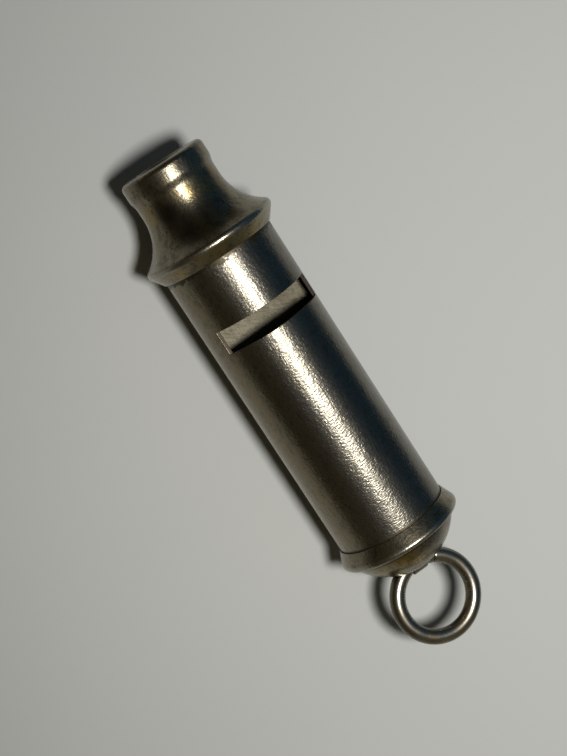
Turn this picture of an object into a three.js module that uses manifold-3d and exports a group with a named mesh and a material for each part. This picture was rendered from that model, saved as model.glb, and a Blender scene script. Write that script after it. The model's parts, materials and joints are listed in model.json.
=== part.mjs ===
// A tubular air whistle: a turned mouthpiece, a windowed barrel split into two
// chambers by a partition, a pressed end cap, and a carrying ring in a strap.
// Millimetres. +X runs from the mouthpiece to the ring, +Z is up as it lies.

import * as THREE from 'three';
import { mergeVertices } from 'three/addons/utils/BufferGeometryUtils.js';
import Module from 'manifold-3d';

const wasm = await Module();
wasm.setup();

// Fits
const solderGap = 0.1; // room for solder between two fixed pieces
const seatGap = 0.3; // end play left in front of a shoulder
const runningGap = 0.1; // clearance round the wire of the ring

// Barrel
const tubeRadius = 8.75;
const tubeWall = 0.5;
const tubeShown = 47.6; // length between the mouthpiece skirt and the cap's seam
const tubeInCap = 2.2; // length hidden in the cap

// Mouthpiece, measured from its tip
const tipRadius = 6.77;
const lipRound = 0.8;
const neckRadius = 6.45;
const tipToNeck = 5.65;
const flareRadius = 8; // radius of the hollow curve from neck to flange
const flareLength = 6.75; // length of that curve past the neck
const ridgeRadius = 10.45;
const tipToRidge = 12.9;
const ridgeLand = 0.3;
const skirtLength = 2.3; // from the ridge to the edge on the barrel
const skirtEdge = 0.3; // thickness of that edge, with the solder gap
const mouthBore = 3.8;
const mouthChamfer = 0.3;
const boreLength = 8.5; // straight part of the bore
const socketDepth = 2.8; // how far the barrel enters

// Voicing: two windows opposite each other, each with a curved windway
const windowSetback = 9.05; // from the skirt to the near edge of a window
const windowLength = 3.7;
const windowChord = 15.7;
const windwayHeight = 0.9;
const blockSetback = 0.6; // from the barrel's mouth to a windway block
const partitionThickness = 0.8;
const stopThickness = 1.2;
const stopSetback = 8.6; // how much shorter the lower chamber is
const endPlateThickness = 1;
const endPlateInset = 0.4;

// End cap, measured from its seam
const capWall = 0.5;
const capEdge = 0.25; // thickness of the seam's edge, with the solder gap
const rimFlare = 0.92; // how far the rim stands out from the seam's edge
const seamToRim = 2.45;
const rimLand = 0.5;
const rimToCrease = 0.65;
const creaseRadius = 8.75;
const domeHeight = 5.4;

// Ring and its strap
const wireRadius = 1.2;
const ringRadius = 6.2; // to the middle of the wire
const seamToPivot = 7.67;
const ringLift = 2.5; // degrees above level, as it lies
const crownTurn = 2.5; // degrees that the strap stands off the axis, towards -Y
const ringSwing = 45; // degrees to each side of level
const strapWidth = 2.4;
const strapThickness = 0.25;
const strapFoot = 1.8;

// Facets
const barrelSides = 40; // a multiple of four lays a flat on the table
const wireSides = 12;
const ringSteps = 32;
const arcSteps = 4;
const slotSteps = 8;

// Places along the axis, from the tip
const skirtEnd = tipToRidge + skirtLength;
const socketFloor = skirtEnd - socketDepth;
const tubeStart = socketFloor + solderGap;
const seam = skirtEnd + tubeShown;
const tubeEnd = seam + tubeInCap;
const windowStart = skirtEnd + windowSetback;
const windowEnd = windowStart + windowLength;
const blockStart = tubeStart + blockSetback;
const endPlateEnd = tubeEnd - endPlateInset;
const endPlateStart = endPlateEnd - endPlateThickness;
const partitionEnd = endPlateStart - solderGap;
const stopEnd = endPlateStart - stopSetback;
const seamToCrease = seamToRim + rimToCrease;

// Radii and angles that follow
const tubeBore = tubeRadius - tubeWall;
const innerFit = tubeBore - solderGap;
const socketRadius = tubeRadius + solderGap;
const rimRadius = tubeRadius + capEdge + rimFlare;
const partitionFace = partitionThickness / 2;
const windowAngle = Math.asin(windowChord / 2 / tubeRadius);
const windowFloor = tubeRadius * Math.cos(windowAngle);
const domeRadius = (creaseRadius ** 2 + domeHeight ** 2) / (2 * domeHeight);
const domeCentre = seamToCrease + domeHeight - domeRadius;
const domeMiddle = seam + domeCentre;
const pivotDepth = seamToPivot - domeCentre;
const lift = THREE.MathUtils.degToRad(ringLift);
const swing = THREE.MathUtils.degToRad(ringSwing);
const offAxis = THREE.MathUtils.degToRad(crownTurn);
const ringMiddle = (pivotDepth + ringRadius * Math.cos(lift)) * Math.cos(offAxis);
const ringReach = ringRadius * Math.hypot(Math.cos(lift), Math.sin(lift) * Math.sin(offAxis));
const overallLength = domeMiddle + ringMiddle + ringReach + wireRadius;

const nickel = { color: 0xa9a294, roughness: 0.3, metalness: 1 };
const tarnished = { color: 0x938969, roughness: 0.42, metalness: 1 };
const bareBrass = { color: 0xa08a55, roughness: 0.5, metalness: 1 };

// Merge the shared corners of a closed geometry and turn its faces outwards.
function closed(geometry) {
  const bare = geometry.clone();
  bare.deleteAttribute('normal');
  bare.deleteAttribute('uv');
  const merged = mergeVertices(bare, 1e-4);
  const position = merged.getAttribute('position');
  const kept = [];
  let volume = 0;
  const a = new THREE.Vector3();
  const b = new THREE.Vector3();
  const c = new THREE.Vector3();
  for (let i = 0; i < merged.index.count; i += 3) {
    const corners = [0, 1, 2].map((k) => merged.index.getX(i + k));
    if (new Set(corners).size < 3) continue;
    kept.push(corners);
    a.fromBufferAttribute(position, corners[0]);
    b.fromBufferAttribute(position, corners[1]);
    c.fromBufferAttribute(position, corners[2]);
    volume += a.dot(b.cross(c));
  }
  merged.setIndex(kept.flatMap(([p, q, r]) => (volume > 0 ? [p, q, r] : [p, r, q])));
  return merged;
}

function toSolid(geometry) {
  const merged = closed(geometry);
  return new wasm.Manifold(new wasm.Mesh({
    numProp: 3,
    vertProperties: new Float32Array(merged.getAttribute('position').array),
    triVerts: new Uint32Array(merged.index.array),
  }));
}

function fromSolid(solid) {
  const mesh = solid.getMesh();
  const geometry = new THREE.BufferGeometry();
  geometry.setAttribute('position', new THREE.BufferAttribute(mesh.vertProperties, 3));
  geometry.setIndex(new THREE.BufferAttribute(mesh.triVerts, 1));
  return geometry;
}

// Turn a profile of (radius, length) about +X. The flats touch the true circle,
// and one of them faces straight down.
function turned(profile) {
  const flat = Math.PI / barrelSides;
  const points = profile.getPoints(arcSteps);
  for (const point of points) point.x /= Math.cos(flat);
  const geometry = new THREE.LatheGeometry(points, barrelSides, flat);
  return closed(geometry.rotateZ(-Math.PI / 2));
}

// Extrude a cross-section drawn as (Y, Z) along +X.
function along(section, start, end) {
  const options = { depth: end - start, bevelEnabled: false, curveSegments: arcSteps * 4 };
  const geometry = new THREE.ExtrudeGeometry(section, options);
  geometry.applyMatrix4(new THREE.Matrix4().makeBasis(
    new THREE.Vector3(0, 1, 0),
    new THREE.Vector3(0, 0, 1),
    new THREE.Vector3(1, 0, 0),
  ));
  return closed(geometry.translate(start, 0, 0));
}

function rectangle(halfWidth, low, high) {
  const section = new THREE.Shape();
  section.moveTo(-halfWidth, low);
  section.lineTo(halfWidth, low);
  section.lineTo(halfWidth, high);
  section.lineTo(-halfWidth, high);
  section.closePath();
  return section;
}

function piece(name, geometry, finish) {
  const shown = geometry.index ? geometry.toNonIndexed() : geometry;
  shown.computeVertexNormals();
  const mesh = new THREE.Mesh(shown, new THREE.MeshStandardMaterial(finish));
  mesh.name = name;
  return mesh;
}

function mouthpiece() {
  const halfway = (lipRound + tipToNeck) / 2;
  const flareAngle = Math.asin(flareLength / flareRadius);
  const profile = new THREE.Path();
  profile.moveTo(mouthBore, mouthChamfer);
  profile.lineTo(mouthBore + mouthChamfer, 0);
  profile.lineTo(tipRadius - lipRound, 0);
  profile.absarc(tipRadius - lipRound, lipRound, lipRound, -Math.PI / 2, 0, false);
  profile.bezierCurveTo(tipRadius, halfway, neckRadius, halfway, neckRadius, tipToNeck);
  profile.absarc(neckRadius + flareRadius, tipToNeck, flareRadius, Math.PI, Math.PI - flareAngle, true);
  profile.lineTo(ridgeRadius, tipToRidge - ridgeLand / 2);
  profile.lineTo(ridgeRadius, tipToRidge + ridgeLand / 2);
  profile.lineTo(tubeRadius + skirtEdge, skirtEnd);
  profile.lineTo(socketRadius, skirtEnd);
  profile.lineTo(socketRadius, socketFloor);
  profile.lineTo(tubeBore, socketFloor);
  profile.lineTo(mouthBore, boreLength);
  profile.closePath();
  return piece('mouthpiece', turned(profile), tarnished);
}

function barrel() {
  const profile = new THREE.Path();
  profile.moveTo(tubeBore, tubeStart);
  profile.lineTo(tubeRadius, tubeStart);
  profile.lineTo(tubeRadius, tubeEnd);
  profile.lineTo(tubeBore, tubeEnd);
  profile.closePath();
  const reach = tubeRadius * 2;
  let solid = toSolid(turned(profile));
  for (const [low, high] of [[windowFloor, reach], [-reach, -windowFloor]]) {
    const cut = along(rectangle(reach, low, high), windowStart, windowEnd);
    solid = solid.subtract(toSolid(cut));
  }
  return piece('barrel', fromSolid(solid), nickel);
}

function partition() {
  const halfWidth = Math.sqrt(innerFit ** 2 - partitionFace ** 2);
  const section = rectangle(halfWidth, -partitionFace, partitionFace);
  return piece('partition', along(section, blockStart, partitionEnd), bareBrass);
}

// A half-round block on one side of the partition. Its crown is lowered by the
// windway's height over the window's angle.
function windwayBlock(name, side) {
  const low = partitionFace + solderGap;
  const foot = Math.asin(low / innerFit);
  const edge = Math.PI / 2 - windowAngle;
  const crown = tubeBore - windwayHeight;
  const section = new THREE.Shape();
  section.moveTo(-Math.cos(foot) * innerFit, low);
  section.lineTo(Math.cos(foot) * innerFit, low);
  section.absarc(0, 0, innerFit, foot, edge, false);
  section.absarc(0, 0, crown, edge, Math.PI - edge, false);
  section.absarc(0, 0, innerFit, Math.PI - edge, Math.PI - foot, false);
  section.closePath();
  const geometry = along(section, blockStart, windowStart - solderGap);
  return piece(name, side > 0 ? geometry : geometry.rotateX(Math.PI), bareBrass);
}

// The half disc that shortens the lower chamber, so that the two notes differ.
function chamberStop() {
  const low = partitionFace + solderGap;
  const foot = Math.asin(low / innerFit);
  const section = new THREE.Shape();
  section.moveTo(-Math.cos(foot) * innerFit, low);
  section.lineTo(Math.cos(foot) * innerFit, low);
  section.absarc(0, 0, innerFit, foot, Math.PI - foot, false);
  section.closePath();
  const geometry = along(section, stopEnd - stopThickness, stopEnd);
  return piece('chamber_stop', geometry.rotateX(Math.PI), bareBrass);
}

function endPlate() {
  const profile = new THREE.Path();
  profile.moveTo(0, endPlateStart);
  profile.lineTo(innerFit, endPlateStart);
  profile.lineTo(innerFit, endPlateEnd);
  profile.lineTo(0, endPlateEnd);
  return piece('end_plate', turned(profile), bareBrass);
}

// How far past the seam the inside of the dome lies at a distance from the axis.
function domeInside(radius) {
  return domeCentre + Math.sqrt((domeRadius - capWall) ** 2 - radius ** 2);
}

// How far to the side a slice of the ring's wire crosses the dome's surface, with
// the ring turned by an angle from level and the slice taken off its middle plane.
function crossing(angle, offset) {
  const slice = ringRadius + Math.sqrt(wireRadius ** 2 - offset ** 2);
  const centres = pivotDepth * Math.cos(angle) + ringRadius;
  const dome = domeRadius ** 2 - (pivotDepth * Math.sin(angle) - offset) ** 2;
  const meeting = (dome - slice ** 2 + centres ** 2) / (2 * centres);
  return Math.sqrt(dome - meeting ** 2);
}

// The wire sinks into the crown through a slot, which is long and high enough for
// the ring to reach both ends of its swing. It is turned about the dome's centre
// with the strap.
function crownSlot() {
  let reach = 0;
  for (let turn = 0; turn <= slotSteps; turn++) {
    for (let layer = 0; layer <= slotSteps; layer++) {
      const side = crossing((swing * turn) / slotSteps, (wireRadius * layer) / slotSteps);
      reach = Math.max(reach, side);
    }
  }
  const clear = domeRadius + wireRadius;
  const centres = pivotDepth * Math.cos(swing) + ringRadius;
  const run = (clear ** 2 - pivotDepth ** 2) / (2 * centres);
  const halfHeight = run * Math.sin(swing) + wireRadius + runningGap;
  const section = rectangle(reach + runningGap, -halfHeight, halfHeight);
  const start = seamToCrease - domeCentre;
  return along(section, start, start + domeHeight * 2).rotateZ(-offAxis).translate(domeMiddle, 0, 0);
}

function endCap() {
  const creaseInside = creaseRadius - capWall;
  const rimInside = tubeInCap + seatGap;
  const apex = domeCentre + domeRadius;
  const outerStart = Math.atan2(seamToCrease - domeCentre, creaseRadius);
  const innerEnd = Math.atan2(domeInside(creaseInside) - domeCentre, creaseInside);
  const profile = new THREE.Path();
  profile.moveTo(0, apex - capWall);
  profile.absarc(0, domeCentre, domeRadius - capWall, Math.PI / 2, innerEnd, true);
  profile.lineTo(socketRadius, rimInside);
  profile.lineTo(socketRadius, 0);
  profile.lineTo(tubeRadius + capEdge, 0);
  profile.lineTo(rimRadius, seamToRim - rimLand / 2);
  profile.lineTo(rimRadius, seamToRim + rimLand / 2);
  profile.quadraticCurveTo(rimRadius, seamToCrease, creaseRadius, seamToCrease);
  profile.absarc(0, domeCentre, domeRadius, outerStart, Math.PI / 2, false);
  const shell = toSolid(turned(profile).translate(seam, 0, 0));
  return piece('end_cap', fromSolid(shell.subtract(toSolid(crownSlot()))), tarnished);
}

// A sheet-metal strap bent round the wire, its feet spread under the crown.
function ringStrap() {
  const half = strapWidth / 2;
  const bow = ringRadius - Math.sqrt(ringRadius ** 2 - half ** 2);
  const inner = wireRadius + bow + runningGap;
  const outer = inner + strapThickness;
  const toe = outer + strapFoot;
  const footTop = domeInside(Math.hypot(toe, half)) - seatGap - seamToPivot;
  const footBottom = footTop - strapThickness;
  const section = new THREE.Shape();
  section.moveTo(footTop, -toe);
  section.lineTo(footTop, -outer);
  section.absarc(0, 0, outer, -Math.PI / 2, Math.PI / 2, false);
  section.lineTo(footTop, outer);
  section.lineTo(footTop, toe);
  section.lineTo(footBottom, toe);
  section.lineTo(footBottom, inner);
  section.absarc(0, 0, inner, Math.PI / 2, -Math.PI / 2, true);
  section.lineTo(footBottom, -inner);
  section.lineTo(footBottom, -toe);
  section.closePath();
  const options = { depth: strapWidth, bevelEnabled: false, curveSegments: arcSteps * 3 };
  const geometry = new THREE.ExtrudeGeometry(section, options).translate(0, 0, -half);
  const mesh = piece('ring_strap', closed(geometry.rotateX(Math.PI / 2)), nickel);
  mesh.position.x = pivotDepth;
  return mesh;
}

// The ring swings about the middle of the wire in the strap.
function carryingRing() {
  const wire = new THREE.Path();
  wire.absarc(ringRadius, 0, wireRadius, 0, Math.PI * 2, false);
  const points = wire.getSpacedPoints(wireSides);
  points[wireSides] = points[0].clone();
  const geometry = new THREE.LatheGeometry(points, ringSteps, Math.PI / 2);
  const mesh = piece('ring', closed(geometry.rotateX(Math.PI / 2)), nickel);
  mesh.position.x = ringRadius;
  const hinge = new THREE.Group();
  hinge.position.x = pivotDepth;
  hinge.rotation.y = -lift;
  hinge.add(mesh);
  return hinge;
}

// The strap and the ring, turned about the dome's centre.
const hanger = new THREE.Group();
hanger.position.x = domeMiddle;
hanger.rotation.z = -offAxis;
hanger.add(ringStrap(), carryingRing());

const whistle = new THREE.Group();
whistle.position.set(-overallLength / 2, 0, ridgeRadius);
whistle.add(
  mouthpiece(),
  barrel(),
  partition(),
  windwayBlock('windway_block_upper', 1),
  windwayBlock('windway_block_lower', -1),
  chamberStop(),
  endPlate(),
  endCap(),
  hanger,
);

const part = new THREE.Group();
part.add(whistle);

export default part;
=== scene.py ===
import json
import math

import bmesh
import bpy
from mathutils import Matrix, Vector


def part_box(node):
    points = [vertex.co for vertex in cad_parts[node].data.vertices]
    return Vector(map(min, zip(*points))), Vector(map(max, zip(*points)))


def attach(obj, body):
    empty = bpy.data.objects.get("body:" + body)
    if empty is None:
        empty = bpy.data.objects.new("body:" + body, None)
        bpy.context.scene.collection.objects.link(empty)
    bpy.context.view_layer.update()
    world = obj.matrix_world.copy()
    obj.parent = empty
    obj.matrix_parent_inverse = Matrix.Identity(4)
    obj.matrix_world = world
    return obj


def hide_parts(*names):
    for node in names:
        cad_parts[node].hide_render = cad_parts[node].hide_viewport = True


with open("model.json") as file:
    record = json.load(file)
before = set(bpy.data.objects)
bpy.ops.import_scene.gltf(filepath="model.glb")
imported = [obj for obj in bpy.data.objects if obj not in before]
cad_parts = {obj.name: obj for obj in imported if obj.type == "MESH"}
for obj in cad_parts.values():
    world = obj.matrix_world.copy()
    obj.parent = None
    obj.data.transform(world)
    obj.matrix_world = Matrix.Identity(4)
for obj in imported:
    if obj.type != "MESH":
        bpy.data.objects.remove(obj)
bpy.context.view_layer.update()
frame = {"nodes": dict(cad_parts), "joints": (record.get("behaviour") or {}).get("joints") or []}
print("whistle: frame loaded with", len(frame["nodes"]), "nodes")

mm = 0.001  # the frame is in metres, the sizes below are in millimetres
weld = 1e-7  # metres, points closer than this are one
sharpAngle = 35  # degrees, faces that meet more sharply don't shade into each other
bevelCuts = 2  # faces across a softened edge
noiseMiddle = 0.5  # the level that noise lies about
ringRise = 2.5  # degrees, the ring rises a little away from the cap

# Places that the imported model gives
mouthLow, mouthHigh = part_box("mouthpiece")
barrelLow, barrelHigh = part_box("barrel")
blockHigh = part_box("windway_block_upper")[1]
capLow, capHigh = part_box("end_cap")
ringSwing = frame["joints"][0]
pivot = Vector(ringSwing["pos_m"])
hingeWay = Vector(ringSwing["axis"])
hangerTurn = math.atan2(hingeWay.x, hingeWay.y)  # the ring and strap stand a little off the middle
hanger = Matrix.Translation(pivot) @ Matrix.Rotation(-hangerTurn, 4, "Z")
ringLift = Matrix.Rotation(-math.radians(ringRise), 4, "Y")
axisHeight = pivot.z
tip = mouthLow.x
skirtEnd = mouthHigh.x
seam = capLow.x
tubeRadius = (barrelHigh.z - barrelLow.z) / 2
ridgeRadius = (mouthHigh.y - mouthLow.y) / 2
rimRadius = (capHigh.y - capLow.y) / 2


def onAxis(station, radius=0.0):
    return Vector((station, 0, axisHeight + radius))


def vertsIn(items):
    return [item for item in items if isinstance(item, bmesh.types.BMVert)]


# A section drawn from point to point beside the barrel's axis, then turned about it
class Section:
    def __init__(self, station, radius):
        self.mesh = bmesh.new()
        self.first = self.mesh.verts.new(onAxis(station, radius))
        self.last = self.first

    def line(self, station, radius):
        corner = self.mesh.verts.new(onAxis(station, radius))
        self.mesh.edges.new((self.last, corner))
        self.last = corner

    def arc(self, station, radius, degrees, steps):
        swept = bmesh.ops.spin(
            self.mesh, geom=[self.last], cent=onAxis(station, radius), axis=(0, 1, 0),
            angle=math.radians(degrees), steps=steps,
        )
        self.last = vertsIn(swept["geom_last"])[0]

    def close(self):
        self.mesh.edges.new((self.last, self.first))

    def turn(self, sides):
        halfStep = Matrix.Rotation(math.pi / sides, 3, "X")
        bmesh.ops.rotate(self.mesh, cent=onAxis(0), matrix=halfStep, verts=self.mesh.verts)
        bmesh.ops.spin(
            self.mesh, geom=self.mesh.verts[:] + self.mesh.edges[:], cent=onAxis(0), axis=(1, 0, 0),
            angle=2 * math.pi, steps=sides, use_merge=True,
        )
        bmesh.ops.remove_doubles(self.mesh, verts=self.mesh.verts, dist=weld)
        bmesh.ops.recalc_face_normals(self.mesh, faces=self.mesh.faces)
        return self.mesh


def fromAxis(point):
    return math.hypot(point.y, point.z - axisHeight)


# The edges of a turned mesh that run round it at one place
def hoop(mesh, station, radius):
    nearAlong = 2e-6  # metres
    nearOut = 6e-6
    return [
        edge for edge in mesh.edges
        if all(abs(vert.co.x - station) < nearAlong for vert in edge.verts)
        and all(abs(fromAxis(vert.co) - radius) < nearOut for vert in edge.verts)
    ]


def soften(mesh, edges, width):
    bmesh.ops.bevel(
        mesh, geom=edges, offset=width, offset_type="OFFSET", segments=bevelCuts,
        profile=0.5, affect="EDGES", material=-1, clamp_overlap=True,
    )


# Split the walls along the planes, drop what lies inside and close the cut through the wall
def cutThrough(mesh, planes, near, inside):
    for point, normal in planes:
        faces = [face for face in mesh.faces if near(face.calc_center_median())]
        edges = {edge for face in faces for edge in face.edges}
        verts = {vert for face in faces for vert in face.verts}
        bmesh.ops.bisect_plane(
            mesh, geom=faces + list(edges) + list(verts), dist=weld, plane_co=point, plane_no=normal,
        )
    gone = [face for face in mesh.faces if inside(face.calc_center_median())]
    bmesh.ops.delete(mesh, geom=gone, context="FACES")
    rim = [edge for edge in mesh.edges if edge.is_boundary]
    bmesh.ops.bridge_loops(mesh, edges=rim)
    bmesh.ops.recalc_face_normals(mesh, faces=mesh.faces)
    return rim


def makePiece(mesh, name, node, body, finish):
    data = bpy.data.meshes.new(name)
    mesh.to_mesh(data)
    mesh.free()
    data.shade_smooth()
    data.set_sharp_from_angle(angle=math.radians(sharpAngle))
    data.materials.append(finish)
    piece = bpy.data.objects.new(name, data)
    bpy.context.scene.collection.objects.link(piece)
    # small bevels don't bend the shading of the long faces beside them
    even = piece.modifiers.new("even shading", "WEIGHTED_NORMAL")
    even.keep_sharp = True
    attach(piece, body)
    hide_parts(node)
    print("whistle:", name, "has", len(data.polygons), "faces")
    return piece


# A socket that takes part in Python sums
class Reading:
    def __init__(self, finish, socket):
        self.finish = finish
        self.socket = socket

    def math(self, operation, first, second):
        return self.finish.node("ShaderNodeMath", {"operation": operation}, {0: first, 1: second})

    def __add__(self, other):
        return self.math("ADD", self, other)

    def __radd__(self, other):
        return self.math("ADD", other, self)

    def __sub__(self, other):
        return self.math("SUBTRACT", self, other)

    def __rsub__(self, other):
        return self.math("SUBTRACT", other, self)

    def __mul__(self, other):
        return self.math("MULTIPLY", self, other)

    def __rmul__(self, other):
        return self.math("MULTIPLY", other, self)

    def __pow__(self, other):
        return self.math("POWER", self, other)

    def __abs__(self):
        return self.math("ABSOLUTE", self, 0.0)


patternLook = {
    "noiseRough": 0.55,
    "bandCore": 0.4,  # share of a band's half-width at full strength
    "spotCore": 0.25,  # share of a spot's reach at full strength
}


# The nodes of one finish
class Finish:
    def __init__(self, owner):
        owner.use_nodes = True
        self.tree = owner.node_tree
        self.tree.nodes.clear()

    def pick(self, sockets, key):
        if isinstance(key, str):
            for socket in sockets:
                if socket.identifier == key:
                    return socket
        return sockets[key]

    def node(self, kind, settings=None, values=None, output=0):
        made = self.tree.nodes.new(kind)
        for name, setting in (settings or {}).items():
            setattr(made, name, setting)
        for name, value in (values or {}).items():
            socket = self.pick(made.inputs, name)
            if isinstance(value, Reading):
                self.tree.links.new(value.socket, socket)
            else:
                socket.default_value = value
        return Reading(self, self.pick(made.outputs, output))

    def mix(self, share, first, second):
        values = {"Factor_Float": share, "A_Color": first, "B_Color": second}
        return self.node("ShaderNodeMix", {"data_type": "RGBA"}, values, "Result_Color")

    def here(self):
        return self.node("ShaderNodeTexCoord", output="Object")

    def part(self, letter):
        return self.node("ShaderNodeSeparateXYZ", None, {"Vector": self.here()}, letter)

    # Distance from the barrel's axis, in metres
    def reach(self):
        high = self.part("Z") - axisHeight
        across = self.part("Y")
        return (high * high + across * across) ** 0.5

    # 0 below low, 1 above high, smooth between
    def rise(self, value, low, high):
        values = {"Value": value, "From Min": low, "From Max": high}
        return self.node("ShaderNodeMapRange", {"interpolation_type": "SMOOTHSTEP"}, values)

    # 1 within the half-width of a place, 0 past it
    def band(self, value, place, halfWidth):
        return 1.0 - self.rise(abs(value - place), halfWidth * patternLook["bandCore"], halfWidth)

    # Noise whose grains have the given length along X, Y and Z, in millimetres
    def grain(self, size, detail=2.0, turn=(0, 0, 0), shift=0.0):
        place = {
            "Vector": self.here(),
            "Location": (shift, shift, shift),
            "Rotation": [math.radians(angle) for angle in turn],
            "Scale": [length * mm for length in size],
        }
        mapped = self.node("ShaderNodeMapping", {"vector_type": "TEXTURE"}, place)
        values = {"Vector": mapped, "Scale": 1.0, "Detail": detail, "Roughness": patternLook["noiseRough"]}
        return self.node("ShaderNodeTexNoise", None, values, "Fac")

    # Patches where the noise is high, which fade in from the low level to the high one
    def patch(self, size, detail, shift, low, high):
        return self.rise(self.grain(size, detail, shift=shift), low, high)

    # Fine lines where stretched noise passes its middle level
    def hairlines(self, length, gap, width, turn, shift):
        noise = self.grain((length, gap, gap), 1.0, turn, shift)
        return 1.0 - self.rise(abs(noise - noiseMiddle), 0.0, width)

    # 1 at a place on the whistle, 0 past the reach
    def around(self, place, reach):
        values = {0: self.here(), 1: place}
        away = self.node("ShaderNodeVectorMath", {"operation": "DISTANCE"}, values, "Value")
        return 1.0 - self.rise(away, reach * patternLook["spotCore"], reach)

    def bump(self, height, lift, under=None):
        values = {"Strength": 1.0, "Distance": lift * mm, "Height": height}
        if under is not None:
            values["Normal"] = under
        return self.node("ShaderNodeBump", None, values)

    # The film is the thin greasy coat that old plating wears, as (weight, roughness)
    def surface(self, base, rough, normal, metallic=1.0, film=(0.0, 0.0)):
        values = {"Base Color": base, "Roughness": rough, "Metallic": metallic, "Normal": normal}
        values["Coat Weight"] = film[0]
        values["Coat Roughness"] = film[1]
        shader = self.node("ShaderNodeBsdfPrincipled", None, values)
        self.close("ShaderNodeOutputMaterial", shader)

    def close(self, kind, shader):
        end = self.tree.nodes.new(kind)
        self.tree.links.new(shader.socket, end.inputs["Surface"])


def newFinish(name):
    material = bpy.data.materials.new(name)
    return material, Finish(material)


# In each look a patch is (grain in mm, detail, shift, low level, high level), a share is how far a
# mark covers the tone below it, and a lift is the depth of marks in mm
barrelLook = {
    "clean": (0.16, 0.147, 0.12, 1),
    "dull": (0.137, 0.123, 0.094, 1),
    # painted reflection: a lighter, warmer tone on the barrel's -Y flank stands in for the lit floor that
    # this flank mirrors
    "paintedFlankReflection": (0.208, 0.175, 0.106, 1),
    "pitted": (0.05, 0.042, 0.026, 1),
    "grime": (0.045, 0.035, 0.018, 1),
    # painted shade: the bore and the window's cut faces are painted near black
    "inside": (0.025, 0.018, 0.01, 1),
    "patches": ((9, 6, 6), 4.0, 0.0, 0.35, 0.65),
    "mottle": ((1.0, 0.8, 0.8), 3.0, 0.09, 0.48, 0.68),
    "mottleShare": 0.36,
    "specks": ((0.3, 0.3, 0.3), 1.0, 0.02, 0.7, 0.78),
    "speckShare": 0.6,
    "paintedReflectionSpan": (-7, -3.5),  # mm across, where the flank's tone fades out
    "paintedReflectionShare": 0.8,
    "grimeWidth": 0.5,  # mm, beside the cap
    "grimeCore": 0.3,  # share of that width at full strength
    "solderWidth": 0.8,  # mm, beside the mouthpiece
    "solderFade": 0.4,  # mm
    "solderRun": 3.2,  # mm, how far the solder's edge wanders
    "solderSize": (0.8, 1.2, 1.2),  # mm
    "insideShadeSpan": (0.1, 0.03),  # mm below the outer face
    "capWear": (16, 2),  # mm before the seam, where more wear fades in
    "mouthWear": (3, 10),  # mm past the mouthpiece, where more wear fades out
    "rough": 0.235,
    "roughRange": 0.12,
    "patchRough": 0.03,
    "grimeRough": 0.2,
    "endRough": 0.04,  # more wear beside the cap and the mouthpiece
    "film": (0.4, 0.42),
    "dentSize": (8, 4, 4),  # mm
    "dentLift": 0.04,
    "grainSize": (0.22, 0.5, 0.5),  # mm, turned marks run round the barrel
    "grainLift": 0.048,
    "strokeSize": (1.0, 0.25, 0.25),  # mm, wear marks run along it
    "strokeLift": 0.02,
    "fleckSize": (1.4, 0.5, 0.5),  # mm, broader marks
    "fleckLift": 0.018,
}


def wornNickel(name, look):
    material, finish = newFinish(name)
    along = finish.part("X")
    patches = finish.patch(*look["patches"])
    mottle = finish.patch(*look["mottle"])
    specks = finish.patch(*look["specks"])
    fine = finish.grain(look["grainSize"], 2.0)
    strokes = finish.grain(look["strokeSize"], 2.0, shift=0.03)
    flecks = finish.grain(look["fleckSize"], 1.0, shift=0.08)
    dents = finish.grain(look["dentSize"], 2.0, shift=0.05)
    # dirt beside the cap, and the ragged edge of the solder beside the mouthpiece
    width = look["grimeWidth"] * mm
    grime = finish.rise(along, seam - width, seam - width * look["grimeCore"])
    wander = finish.grain(look["solderSize"], 2.0, shift=0.06) - noiseMiddle
    ragged = along + wander * look["solderRun"] * mm
    solderEnd = skirtEnd + look["solderWidth"] * mm
    grime = grime + 1.0 - finish.rise(ragged, solderEnd - look["solderFade"] * mm, solderEnd)
    # painted shade: everything more than 0.03 mm inside the outer face, the bore and the window's cut
    # faces, fades to near black
    deep, shallow = look["insideShadeSpan"]
    inside = 1.0 - finish.rise(finish.reach(), tubeRadius - deep * mm, tubeRadius - shallow * mm)
    # painted reflection: the -Y flank is painted lighter and warmer, for the lit floor it mirrors
    left, right = look["paintedReflectionSpan"]
    paintedFlankReflection = 1.0 - finish.rise(finish.part("Y"), left * mm, right * mm)
    begin, full = look["capWear"]
    nearCap = finish.rise(along, seam - begin * mm, seam - full * mm)
    full, end = look["mouthWear"]
    nearMouth = 1.0 - finish.rise(along, skirtEnd + full * mm, skirtEnd + end * mm)
    base = finish.mix(patches, look["clean"], look["dull"])
    base = finish.mix(paintedFlankReflection * look["paintedReflectionShare"], base, look["paintedFlankReflection"])
    pitting = specks * look["speckShare"] + mottle * look["mottleShare"]
    base = finish.mix(pitting, base, look["pitted"])
    base = finish.mix(grime, base, look["grime"])
    base = finish.mix(inside, base, look["inside"])
    rough = look["rough"] + (fine - noiseMiddle) * look["roughRange"] + patches * look["patchRough"]
    rough = rough + (grime + inside) * look["grimeRough"]
    rough = rough + (nearCap + nearMouth) * look["endRough"]
    normal = finish.bump(dents, look["dentLift"])
    normal = finish.bump(flecks, look["fleckLift"], normal)
    normal = finish.bump(strokes, look["strokeLift"], normal)
    normal = finish.bump(fine, look["grainLift"], normal)
    finish.surface(base, rough, normal, film=look["film"])
    return material


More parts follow.
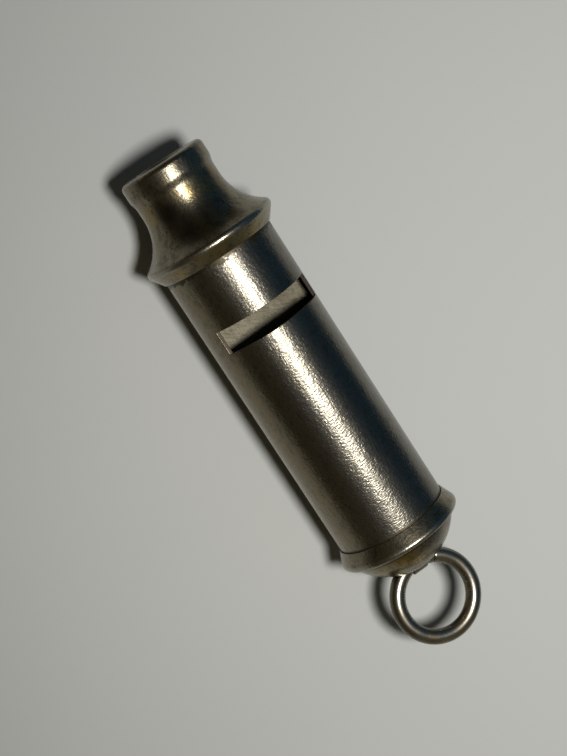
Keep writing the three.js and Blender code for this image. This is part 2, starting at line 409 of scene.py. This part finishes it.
tarnishLook = {
    "clean": (0.225, 0.193, 0.132, 1),
    "dull": (0.165, 0.133, 0.08, 1),
    "yellow": (0.24, 0.18, 0.065, 1),
    "amber": (0.26, 0.16, 0.012, 1),
    "brown": (0.1, 0.062, 0.024, 1),
    "slate": (0.07, 0.066, 0.06, 1),
    # darkest tone: pits and blots, and also painted shade in the cap's crease and painted reflection on
    # the mouthpiece's top
    "pitsAndPaintedShade": (0.03, 0.026, 0.015, 1),
    "worn": (0.4, 0.375, 0.31, 1),
    "patches": ((4, 3, 3), 4.0, 0.0, 0.35, 0.68),
    "cloud": ((5, 2.5, 2.5), 3.0, 0.04, 0.34, 0.6),
    "specks": ((0.5, 0.4, 0.4), 2.0, 0.02, 0.6, 0.7),
    "speckShare": 0.5,
    "blots": ((1.3, 1.1, 1.1), 4.0, 0.07, 0.5, 0.62),
    "blotShare": 0.45,
    "bandShare": 0.85,
    "spotShare": (0.6, 0.35),  # everywhere, and more where the cloud is
    "wornSpan": (0.2, 0.03),  # mm below the widest edge
    "wornShare": 0.6,
    # share of the painted shade in a crease
    "creaseShadeShare": 0.85,
    "rough": 0.25,
    "roughRange": 0.12,
    "patchRough": 0.05,
    "film": (0.4, 0.42),
    "dentSize": (6, 5, 5),  # mm
    "dentLift": 0.03,
    "grainSize": (0.34, 0.34, 0.34),  # mm
    "grainLift": 0.032,
}

# Marks in mm along from a piece's first edge: bands are (along, half-width, colour), spots ((along,
# across, above the axis), reach, colour), and creases with painted shade in them (along, half-width).
# The bands and the yellow, amber and brown spots are stains; the mouthpiece's dark spots are painted
# reflection of the dark room
mouthpieceStainsAndShade = {
    "bands": [(5.6, 2, "yellow"), ((skirtEnd - tip) / mm, 2.4, "yellow")],
    "spots": [
        # painted reflection: dark spots on the top of the mouthpiece stand in for the dark room it mirrors
        ((9, -2, 7), 5.5, "pitsAndPaintedShade"),
        ((6.3, -4.7, 4.6), 2.8, "pitsAndPaintedShade"),
        ((11.3, 2.6, 8.3), 1.8, "brown"),
    ],
    "shadedCreases": [],
}

capStainsAndShade = {
    "bands": [(5.6, 1.4, "yellow")],
    "spots": [
        ((4.4, -5, 6), 4.5, "yellow"),
        ((4.4, 1.6, 7.6), 2.8, "slate"),
        ((4.3, -3.3, 7.1), 2.6, "amber"),
    ],
    # painted shade in the crease under the rim's roll
    "shadedCreases": [(3.15, 0.3)],
}


def tarnishedNickel(name, look, stainsAndShade, firstEdge, wornRadius):
    material, finish = newFinish(name)
    along = finish.part("X")
    patches = finish.patch(*look["patches"])
    cloud = finish.patch(*look["cloud"])
    specks = finish.patch(*look["specks"])
    blots = finish.patch(*look["blots"])
    fine = finish.grain(look["grainSize"], 2.0)
    dents = finish.grain(look["dentSize"], 2.0, shift=0.05)
    deep, shallow = look["wornSpan"]
    worn = finish.rise(finish.reach(), wornRadius - deep * mm, wornRadius - shallow * mm)
    base = finish.mix(patches, look["clean"], look["dull"])
    for place, halfWidth, colour in stainsAndShade["bands"]:
        share = finish.band(along, firstEdge + place * mm, halfWidth * mm) * cloud
        base = finish.mix(share * look["bandShare"], base, look[colour])
    everywhere, clouded = look["spotShare"]
    # spots are stains, and on the mouthpiece painted reflection of the dark room
    for place, reach, colour in stainsAndShade["spots"]:
        middle = onAxis(firstEdge) + Vector(place) * mm
        share = finish.around(middle, reach * mm) * (everywhere + cloud * clouded)
        base = finish.mix(share, base, look[colour])
    base = finish.mix(specks * look["speckShare"] + blots * look["blotShare"], base, look["pitsAndPaintedShade"])
    base = finish.mix(worn * look["wornShare"], base, look["worn"])
    # painted shade: the crease under the rim is painted dark
    for place, halfWidth in stainsAndShade["shadedCreases"]:
        share = finish.band(along, firstEdge + place * mm, halfWidth * mm)
        base = finish.mix(share * look["creaseShadeShare"], base, look["pitsAndPaintedShade"])
    rough = look["rough"] + (fine - noiseMiddle) * look["roughRange"] + patches * look["patchRough"]
    normal = finish.bump(dents, look["dentLift"])
    normal = finish.bump(fine, look["grainLift"], normal)
    finish.surface(base, rough, normal, film=look["film"])
    return material


# What the ring and its strap have in common
wireWear = {
    "patches": ((3, 3, 3), 4.0, 0.0, 0.4, 0.7),
    "roughRange": 0.1,
    "patchRough": 0.1,
    "dentSize": (3, 3, 3),  # mm
    "dentLift": 0.03,
    "grainSize": (0.25, 0.25, 0.25),  # mm
    "grainLift": 0.005,
}

ringLook = {
    **wireWear,
    "clean": (0.32, 0.292, 0.237, 1),
    "dull": (0.19, 0.158, 0.1, 1),
    # painted shade: the dark tone of the wire's flanks
    "paintedFlankReflection": (0.09, 0.07, 0.036, 1),
    "paintedReflectionSpan": (0.5, 1.05),  # mm from the wire's own plane
    "paintedReflectionShare": 0.85,
    "rough": 0.26,
    "film": (0.3, 0.42),
}

strapLook = {
    **wireWear,
    "clean": (0.21, 0.18, 0.12, 1),
    "dull": (0.12, 0.098, 0.056, 1),
    "rough": 0.34,
    "film": (0.3, 0.5),
}


# The wire's flanks, level with its own plane, are painted darker than its top and bottom: painted shade
# for the dark surroundings those flanks mirror
def ringNickel(name, look, upWay=None):
    material, finish = newFinish(name)
    patches = finish.patch(*look["patches"])
    fine = finish.grain(look["grainSize"], 3.0)
    dents = finish.grain(look["dentSize"], 1.0, shift=0.03)
    base = finish.mix(patches, look["clean"], look["dull"])
    if upWay is not None:
        # painted shade: darker where the wire lies level with its own plane
        values = {0: finish.here(), 1: upWay}
        level = finish.node("ShaderNodeVectorMath", {"operation": "DOT_PRODUCT"}, values, "Value")
        full, end = look["paintedReflectionSpan"]
        paintedFlankReflection = 1.0 - finish.rise(abs(level - pivot.dot(upWay)), full * mm, end * mm)
        base = finish.mix(paintedFlankReflection * look["paintedReflectionShare"], base, look["paintedFlankReflection"])
    rough = look["rough"] + (fine - noiseMiddle) * look["roughRange"] + patches * look["patchRough"]
    normal = finish.bump(dents, look["dentLift"])
    normal = finish.bump(fine, look["grainLift"], normal)
    finish.surface(base, rough, normal, film=look["film"])
    return material


# What the pieces inside have in common
sheetWear = {
    "patches": ((3, 2, 2), 4.0, 0.0, 0.4, 0.7),
    "patchShare": 0.6,
    "pits": ((0.4, 0.3, 0.3), 1.0, 0.05, 0.62, 0.7),
    "pitShare": 0.6,
    "lines": (5, 0.6, 0.02, (0, 0, 60), 0.02),  # length and gap in mm, width, turn in degrees, shift
    "lineShare": 0.3,
    "lineRough": 0.15,
    "lineDepth": 0.5,
    "grainSize": (0.5, 0.15, 0.15),  # mm
    "grainShare": 0.3,
    "grainLift": 0.015,
    "roughRange": 0.15,
}

plateLook = {
    **sheetWear,
    "clean": (0.15, 0.136, 0.1, 1),
    "dull": (0.065, 0.055, 0.034, 1),
    "rough": 0.5,
}

brassLook = {
    **sheetWear,
    "clean": (0.42, 0.3, 0.13, 1),
    "dull": (0.2, 0.14, 0.07, 1),
    "rough": 0.45,
}


def dullPlate(name, look):
    material, finish = newFinish(name)
    patches = finish.patch(*look["patches"])
    pits = finish.patch(*look["pits"])
    lines = finish.hairlines(*look["lines"])
    fine = finish.grain(look["grainSize"], 3.0)
    dulling = patches * look["patchShare"] + (1.0 - fine) * look["grainShare"]
    base = finish.mix(dulling, look["clean"], look["dull"])
    base = finish.mix(pits * look["pitShare"] + lines * look["lineShare"], base, look["dull"])
    rough = look["rough"] + (fine - noiseMiddle) * look["roughRange"] - lines * look["lineRough"]
    normal = finish.bump(fine - lines * look["lineDepth"], look["grainLift"])
    finish.surface(base, rough, normal)
    return material


barrelFinish = wornNickel("worn_nickel", barrelLook)
mouthpieceFinish = tarnishedNickel(
    "tarnished_nickel_mouthpiece", tarnishLook, mouthpieceStainsAndShade, tip, ridgeRadius,
)
capFinish = tarnishedNickel("tarnished_nickel_cap", tarnishLook, capStainsAndShade, seam, rimRadius)
ringFinish = ringNickel("ring_nickel", ringLook, (hanger @ ringLift).to_3x3() @ Vector((0, 0, 1)))
strapFinish = ringNickel("strap_nickel", strapLook)
plateFinish = dullPlate("dull_plate", plateLook)
brassFinish = dullPlate("dull_brass", brassLook)
print("whistle: finishes made")

# The mouthpiece, measured in millimetres from its tip
mouthpieceSizes = {
    "tipRadius": 6.77,
    "lipRound": 0.8,
    "neckRadius": 6.45,
    "tipToStep": 2.45,
    "stepLength": 1.65,
    "tipToNeck": 5.65,
    "flareRadius": 8,
    "ridgeBead": 0.75,
    "skirtEdge": 0.3,
    "skirtRound": 0.06,
    "boreRadius": 3.8,
    "boreLength": 8.5,
    "boreChamfer": 0.3,
    "socketDepth": 2.8,
    "socketGap": 0.1,
    "lipCuts": 10,
    "stepCuts": 12,
    "flareCuts": 24,
    "beadCuts": 10,
    "sides": 160,
}


def makeMouthpiece(sizes):
    size = {name: value * mm for name, value in sizes.items()}
    socketFloor = skirtEnd - size["socketDepth"]
    tubeBore = tubeRadius - barrelSizes["wall"] * mm
    neck = tip + size["tipToNeck"]
    bead = size["ridgeBead"]
    beadRadius = ridgeRadius - bead
    skirtRadius = tubeRadius + size["skirtEdge"]
    # the hollow flare runs smoothly into the ridge's bead, and the bead into the skirt
    curve = size["flareRadius"] + bead
    flareTurn = math.acos((size["neckRadius"] + size["flareRadius"] - beadRadius) / curve)
    beadStation = neck + curve * math.sin(flareTurn)
    drop = beadRadius - skirtRadius
    run = skirtEnd - beadStation
    skirtTurn = math.atan2(drop, run) + math.asin(bead / math.hypot(drop, run))
    section = Section(tip + size["boreChamfer"], size["boreRadius"])
    section.line(tip, size["boreRadius"] + size["boreChamfer"])
    section.line(tip, size["tipRadius"] - size["lipRound"])
    section.arc(tip + size["lipRound"], size["tipRadius"] - size["lipRound"], 90, sizes["lipCuts"])
    # a soft step from the lip's collar down to the neck
    for cut in range(sizes["stepCuts"] + 1):
        share = cut / sizes["stepCuts"]
        fall = share * share * (3 - 2 * share) * (size["tipRadius"] - size["neckRadius"])
        section.line(tip + size["tipToStep"] + share * size["stepLength"], size["tipRadius"] - fall)
    section.line(neck, size["neckRadius"])
    flareMiddle = size["neckRadius"] + size["flareRadius"]
    section.arc(neck, flareMiddle, -math.degrees(flareTurn), sizes["flareCuts"])
    section.arc(beadStation, beadRadius, math.degrees(flareTurn + skirtTurn), sizes["beadCuts"])
    section.line(skirtEnd, skirtRadius)
    section.line(skirtEnd, tubeRadius + size["socketGap"])
    section.line(socketFloor, tubeRadius + size["socketGap"])
    section.line(socketFloor, tubeBore)
    section.line(tip + size["boreLength"], size["boreRadius"])
    section.close()
    mesh = section.turn(sizes["sides"])
    soften(mesh, hoop(mesh, skirtEnd, skirtRadius), size["skirtRound"])
    return mesh


# The barrel: a thin tube with two windows cut flat across it
barrelSizes = {
    "wall": 0.5,
    "windowGap": 0.1,
    "windowLength": 3.7,
    "windowFloor": 3.865,
    "edgeWear": 0.05,
    "sides": 160,
}


def makeBarrel(sizes):
    start = blockHigh.x + sizes["windowGap"] * mm
    end = start + sizes["windowLength"] * mm
    windowFloor = sizes["windowFloor"] * mm
    bore = tubeRadius - sizes["wall"] * mm
    section = Section(barrelLow.x, bore)
    section.line(barrelLow.x, tubeRadius)
    section.line(barrelHigh.x, tubeRadius)
    section.line(barrelHigh.x, bore)
    section.close()
    mesh = section.turn(sizes["sides"])
    for place in (start, end):
        everything = mesh.verts[:] + mesh.edges[:] + mesh.faces[:]
        bmesh.ops.bisect_plane(
            mesh, geom=everything, dist=weld, plane_co=onAxis(place), plane_no=(1, 0, 0),
        )
    for side in (1, -1):
        plane = (onAxis(0, side * windowFloor), (0, 0, 1))

        def beside(point):
            return start < point.x < end and (point.z - axisHeight) * side > 0

        def above(point):
            return beside(point) and (point.z - axisHeight) * side > windowFloor

        rim = cutThrough(mesh, [plane], beside, above)
        soften(mesh, [edge for edge in rim if edge.is_valid], sizes["edgeWear"] * mm)
    return mesh


# The end cap, measured in millimetres from its seam
capSizes = {
    "wall": 0.5,
    "seamEdge": 0.2,
    "seamRound": 0.05,
    "socketGap": 0.1,
    "seamToRim": 2.3,
    "rimRound": 0.6,
    "seamToCrease": 3.1,
    "creaseRadius": 8.75,
    "domeHeight": 5.4,
    "socketDepth": 2.5,
    "slotHalfLength": 4.37,
    "slotHalfHeight": 2.44,
    "slotCorner": 1.1,
    "innerDomeCuts": 24,
    "rimCuts": 12,
    "domeCuts": 28,
    "sides": 160,
}


def makeCap(sizes):
    size = {name: value * mm for name, value in sizes.items()}
    crease = size["creaseRadius"]
    domeRadius = (crease ** 2 + size["domeHeight"] ** 2) / (2 * size["domeHeight"])
    domeCentre = seam + size["seamToCrease"] + size["domeHeight"] - domeRadius
    innerRadius = domeRadius - size["wall"]
    innerCrease = crease - size["wall"]
    outerTurn = math.degrees(math.asin(crease / domeRadius))
    innerTurn = math.degrees(math.asin(innerCrease / innerRadius))
    socket = tubeRadius + size["socketGap"]
    edge = tubeRadius + size["seamEdge"]
    # the flare touches the rolled rim, which turns on until it faces along the barrel
    rimMiddle = rimRadius - size["rimRound"]
    rise = rimMiddle - edge
    run = size["seamToRim"]
    slope = math.atan2(rise, run) + math.asin(size["rimRound"] / math.hypot(rise, run))
    touchStation = seam + run - size["rimRound"] * math.sin(slope)
    section = Section(domeCentre + innerRadius, 0)
    section.arc(domeCentre, 0, -innerTurn, sizes["innerDomeCuts"])
    section.line(seam + size["socketDepth"], socket)
    section.line(seam, socket)
    section.line(seam, edge)
    section.line(touchStation, rimMiddle + size["rimRound"] * math.cos(slope))
    section.arc(seam + run, rimMiddle, 90 + math.degrees(slope), sizes["rimCuts"])
    section.line(seam + size["seamToCrease"], crease)
    section.arc(domeCentre, 0, outerTurn, sizes["domeCuts"])
    mesh = section.turn(sizes["sides"])
    soften(mesh, hoop(mesh, seam, edge), size["seamRound"])
    # a slot in the crown for the ring's wire, turned with the hanger
    slotMiddle = onAxis(domeCentre)
    upWay = Vector((0, 0, 1))
    halfLength = size["slotHalfLength"]
    halfHeight = size["slotHalfHeight"]
    cornerReach = halfLength + halfHeight - size["slotCorner"]
    planes = []
    for side in (1, -1):
        planes.append((slotMiddle + hingeWay * side * halfLength, hingeWay))
        planes.append((slotMiddle + upWay * side * halfHeight, upWay))
        for other in (1, -1):
            cornerWay = hingeWay * side + upWay * other
            planes.append((slotMiddle + cornerWay * cornerReach / 2, cornerWay.normalized()))

    def nearSlot(point):
        return point.x > seam + size["seamToCrease"]

    def inSlot(point):
        aside = abs((point - slotMiddle).dot(hingeWay))
        above = abs(point.z - axisHeight)
        within = aside < halfLength and above < halfHeight and aside + above < cornerReach
        return nearSlot(point) and within

    cutThrough(mesh, planes, nearSlot, inSlot)
    return mesh


# The carrying ring: round wire bent to a butt joint
ringSizes = {
    "wireRadius": 1.21,
    "ringRadius": 6.19,
    "jointAngle": 27.5,  # degrees round from the strap
    "jointGap": 0.06,
    "jointEdge": 0.15,
    "wireSides": 36,
    "steps": 120,
}


def makeRing(sizes):
    radius = sizes["ringRadius"] * mm
    gap = sizes["jointGap"] / sizes["ringRadius"]
    upright = Matrix.Rotation(math.pi / 2, 4, "X")
    atJoint = Matrix.Rotation(-math.radians(sizes["jointAngle"]) - gap / 2, 4, "Z")
    mesh = bmesh.new()
    bmesh.ops.create_circle(
        mesh, cap_ends=False, segments=sizes["wireSides"], radius=sizes["wireRadius"] * mm,
        matrix=atJoint @ Matrix.Translation((-radius, 0, 0)) @ upright,
    )
    bmesh.ops.spin(
        mesh, geom=mesh.verts[:] + mesh.edges[:], cent=(0, 0, 0), axis=(0, 0, 1),
        angle=gap - 2 * math.pi, steps=sizes["steps"],
    )
    wireEnds = [edge for edge in mesh.edges if edge.is_boundary]
    bmesh.ops.holes_fill(mesh, edges=wireEnds, sides=sizes["wireSides"])
    bmesh.ops.recalc_face_normals(mesh, faces=mesh.faces)
    soften(mesh, [edge for edge in wireEnds if edge.is_valid], sizes["jointEdge"] * mm)
    place = hanger @ ringLift @ Matrix.Translation((radius, 0, 0))
    bmesh.ops.transform(mesh, matrix=place, verts=mesh.verts)
    return mesh


# The strap: sheet bent round the ring's wire, its feet under the crown
strapSizes = {
    "thickness": 0.25,
    "innerRadius": 1.417,
    "width": 2.4,
    "toe": 3.467,  # half-length over both feet
    "footDrop": 0.85,  # the feet's middle lies this far behind the wire's middle
    "arcSteps": 20,
    "edge": 0.06,
}


def makeStrap(sizes):
    middle = (sizes["innerRadius"] + sizes["thickness"] / 2) * mm
    foot = -sizes["footDrop"] * mm
    toe = sizes["toe"] * mm
    side = -sizes["width"] / 2 * mm
    mesh = bmesh.new()
    corners = [mesh.verts.new((foot, side, height)) for height in (toe, middle)]
    corners.append(mesh.verts.new((0, side, middle)))
    for first, second in zip(corners, corners[1:]):
        mesh.edges.new((first, second))
    swept = bmesh.ops.spin(
        mesh, geom=[corners[-1]], cent=(0, side, 0), axis=(0, 1, 0), angle=math.pi,
        steps=sizes["arcSteps"],
    )
    last = vertsIn(swept["geom_last"])[0]
    for height in (-middle, -toe):
        corner = mesh.verts.new((foot, side, height))
        mesh.edges.new((last, corner))
        last = corner
    grown = bmesh.ops.extrude_edge_only(mesh, edges=mesh.edges[:])
    bmesh.ops.translate(mesh, verts=vertsIn(grown["geom"]), vec=(0, sizes["width"] * mm, 0))
    bmesh.ops.recalc_face_normals(mesh, faces=mesh.faces)
    bmesh.ops.transform(mesh, matrix=hanger, verts=mesh.verts)
    return mesh


def thickenStrap(strap, sizes):
    sheet = strap.modifiers.new("sheet", "SOLIDIFY")
    sheet.thickness = sizes["thickness"] * mm
    sheet.offset = 0
    sheet.use_even_offset = True
    worn = strap.modifiers.new("worn edges", "BEVEL")
    worn.width = sizes["edge"] * mm
    worn.segments = bevelCuts
    worn.limit_method = "ANGLE"


makePiece(
    makeMouthpiece(mouthpieceSizes), "fine_mouthpiece", "mouthpiece", "whistle_body",
    mouthpieceFinish,
)
makePiece(makeBarrel(barrelSizes), "fine_barrel", "barrel", "whistle_body", barrelFinish)
makePiece(makeCap(capSizes), "fine_cap", "end_cap", "whistle_body", capFinish)
makePiece(makeRing(ringSizes), "fine_ring", "ring", "carrying_ring", ringFinish)
strap = makePiece(
    makeStrap(strapSizes), "fine_strap", "ring_strap", "whistle_body", strapFinish,
)
thickenStrap(strap, strapSizes)

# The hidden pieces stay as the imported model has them
for node, finish in (
    ("partition", plateFinish),
    ("windway_block_upper", brassFinish),
    ("windway_block_lower", brassFinish),
    ("chamber_stop", brassFinish),
    ("end_plate", brassFinish),
):
    data = frame["nodes"][node].data
    data.materials.clear()
    data.materials.append(finish)
print("whistle: pieces made")

floorLook = {
    "halfSide": 2.5,  # metres
    "cuts": 4,
    "pale": (0.452, 0.457, 0.44, 1),
    "grey": (0.437, 0.442, 0.425, 1),
    "mottleSize": (30, 30, 30),  # mm
    "grainSize": (0.6, 0.6, 0.6),  # mm
    "grainLift": 0.002,
    "rough": 0.6,
}


def makeFloor(look):
    mesh = bmesh.new()
    bmesh.ops.create_grid(
        mesh, x_segments=look["cuts"], y_segments=look["cuts"], size=look["halfSide"],
    )
    data = bpy.data.meshes.new("floor")
    mesh.to_mesh(data)
    mesh.free()
    material, finish = newFinish("pale_floor")
    base = finish.mix(finish.grain(look["mottleSize"], 3.0), look["pale"], look["grey"])
    normal = finish.bump(finish.grain(look["grainSize"]), look["grainLift"])
    finish.surface(base, look["rough"], normal, metallic=0.0)
    data.materials.append(material)
    floor = bpy.data.objects.new("floor", data)
    bpy.context.scene.collection.objects.link(floor)


# One small lamp overhead
lampLook = {
    "place": (7, -22, 300),  # mm
    "aim": (0.8, 1.8, -1.0),
    "width": 52,  # mm
    "length": 112,  # mm, seen slantwise from the whistle
    "power": 1.59,
    "colour": (1.0, 0.99, 0.96),
}


def makeLamp(look):
    data = bpy.data.lights.new("lamp", "AREA")
    data.shape = "ELLIPSE"
    data.size = look["width"] * mm
    data.size_y = look["length"] * mm
    data.energy = look["power"]
    data.color = look["colour"]
    lamp = bpy.data.objects.new("lamp", data)
    lamp.location = Vector(look["place"]) * mm
    lamp.rotation_euler = Vector(look["aim"]).to_track_quat("-Z", "Y").to_euler()
    bpy.context.scene.collection.objects.link(lamp)


# A dim room, warm on one side of the whistle and cool on the other
roomLook = {
    "warm": (0.05, 0.042, 0.024, 1),
    "cool": (0.012, 0.046, 0.084, 1),
    "coolSpan": (0.05, 0.65),  # from the warm side to the cool one
    "far": (0.15, 0.138, 0.085, 1),  # past the ring
    "farSpan": (0.5, 0.95),
    "backdrop": (0.075, 0.075, 0.072, 1),  # behind the floor, in views from the side
}


def makeRoom(look):
    room = bpy.data.worlds.new("room")
    bpy.context.scene.world = room
    finish = Finish(room)
    direction = finish.node("ShaderNodeTexCoord", output="Generated")
    sideways = finish.node("ShaderNodeSeparateXYZ", None, {"Vector": direction}, "Y")
    lengthwise = finish.node("ShaderNodeSeparateXYZ", None, {"Vector": direction}, "X")
    colour = finish.mix(finish.rise(sideways, *look["coolSpan"]), look["warm"], look["cool"])
    colour = finish.mix(finish.rise(lengthwise, *look["farSpan"]), colour, look["far"])
    seen = finish.node("ShaderNodeLightPath", output="Is Camera Ray")
    colour = finish.mix(seen, colour, look["backdrop"])
    finish.close("ShaderNodeOutputWorld", finish.node("ShaderNodeBackground", None, {"Color": colour}))


# The camera, at the photograph's angle
cameraLook = {
    "photoSize": (567, 756),  # pixels
    "focalPixels": 1682,
    "sensor": 36,  # mm
    "distance": 246.04,  # mm from the aim
    "aim": (-6.09, -1.999, 10.45),  # mm, at the middle of the picture
    "towards": (-0.185, -0.268, 0.9455),
    "axisOnPicture": (0.54534, 0.83821),  # how the barrel runs, right and down
}


def makeCamera(look):
    back = Vector(look["towards"]).normalized()
    barrelWay = Vector((1, 0, 0))
    flat = (barrelWay - back * barrelWay.dot(back)).normalized()
    side = back.cross(flat)
    right, down = look["axisOnPicture"]
    rightWay = (flat * right + side * down).normalized()
    upWay = back.cross(rightWay)
    data = bpy.data.cameras.new("camera")
    data.sensor_width = look["sensor"]
    data.lens = look["focalPixels"] * look["sensor"] / max(look["photoSize"])
    camera = bpy.data.objects.new("camera", data)
    turn = Matrix((rightWay, upWay, back)).transposed().to_4x4()
    place = (Vector(look["aim"]) + back * look["distance"]) * mm
    camera.matrix_world = Matrix.Translation(place) @ turn
    bpy.context.scene.collection.objects.link(camera)
    bpy.context.scene.camera = camera


makeFloor(floorLook)
makeLamp(lampLook)
makeRoom(roomLook)
makeCamera(cameraLook)
bpy.context.scene.view_settings.view_transform = "Standard"
print("whistle: stage, lamp and camera made")
